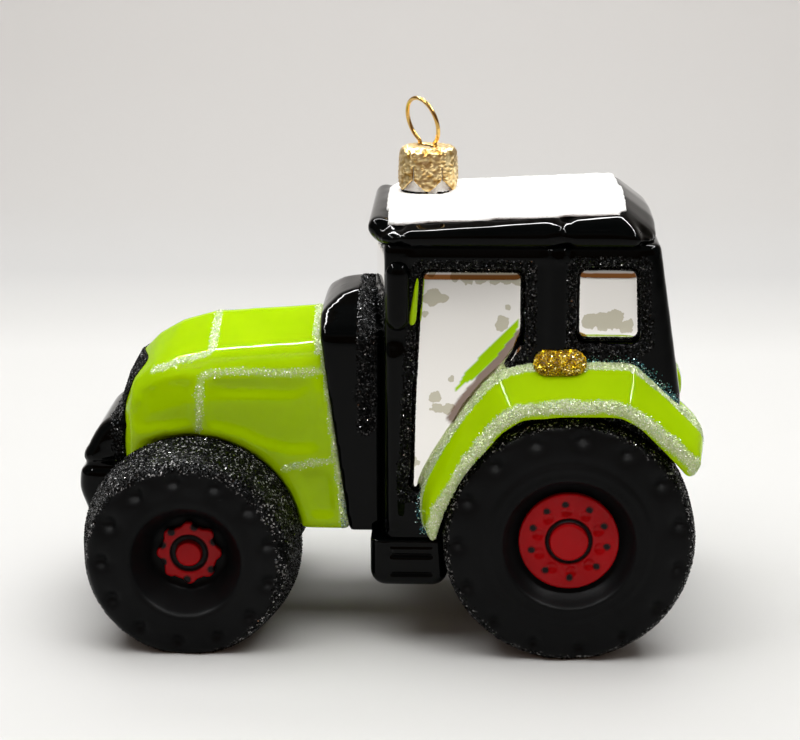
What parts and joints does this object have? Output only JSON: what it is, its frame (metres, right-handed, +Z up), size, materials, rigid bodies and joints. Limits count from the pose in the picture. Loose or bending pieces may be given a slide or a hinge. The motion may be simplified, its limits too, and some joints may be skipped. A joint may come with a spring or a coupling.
{
  "type": "glass tree ornament",
  "caption": "Blown-glass tree ornament in the shape of a farm tractor with a closed cab, standing on its tyres, with a crown cap and a wire loop to hang it by.",
  "frame": {"origin": "on the floor, under the middle of the ornament's length and width", "axes": "+X towards the tractor's rear, +Y towards its right side, +Z up; the tractor faces -X"},
  "size_m": [0.1148, 0.062, 0.0989],
  "materials": {
    "green_lacquer": "lime-green gloss lacquer on silvered glass",
    "black_lacquer": "black gloss lacquer on glass",
    "satin_black": "satin black lacquer on glass",
    "black_glitter": "black glitter in clear varnish",
    "pearl_glitter": "pearl glitter in clear varnish, strewn along lines on the lacquer",
    "gold_glitter": "gold glitter in clear varnish",
    "red_lacquer": "red gloss lacquer on glass",
    "white_snow": "rough white snow coat on glass",
    "silvered_glass": "bare glass, silvered inside",
    "gold_tinplate": "gold-lacquered stamped tinplate",
    "gold_wire": "gold-lacquered spring wire"
  },
  "bodies": {
    "glass": {"hood": "green_lacquer", "grille": "black_glitter", "nose_weights": "black_lacquer", "cowl": "black_lacquer", "chassis": "black_lacquer", "cab": "black_lacquer", "roof": "black_lacquer", "roof_snow": "white_snow", "windscreen": "silvered_glass", "rear_window": "silvered_glass", "door_window_left": "silvered_glass", "quarter_window_left": "silvered_glass", "fender_left": "green_lacquer", "wheel_arch_left": "black_glitter", "lamp_left": "gold_glitter", "step_left": "black_lacquer", "mirror_left": "black_lacquer", "front_tyre_left": "satin_black", "rear_tyre_left": "satin_black", "front_rim_left": "red_lacquer", "rear_rim_left": "red_lacquer", "door_window_right": "silvered_glass", "quarter_window_right": "silvered_glass", "fender_right": "green_lacquer", "wheel_arch_right": "black_glitter", "lamp_right": "gold_glitter", "step_right": "black_lacquer", "mirror_right": "black_lacquer", "front_tyre_right": "satin_black", "rear_tyre_right": "satin_black", "front_rim_right": "red_lacquer", "rear_rim_right": "red_lacquer"},
    "cap": {"cap": "gold_tinplate"},
    "hanger": {"hanger": "gold_wire"}
  },
  "joints": [
    {"name": "cap_pull", "type": "slide", "parent": "glass", "child": "cap", "axis": [0, 0, 1], "range_m": [0, 0.008]},
    {"name": "hanger_rock", "type": "hinge", "parent": "cap", "child": "hanger", "pos_m": [0.0078, 0, 0.0894], "axis": [0.6018, -0.7986, 0], "range_deg": [-40, 10]}
  ]
}
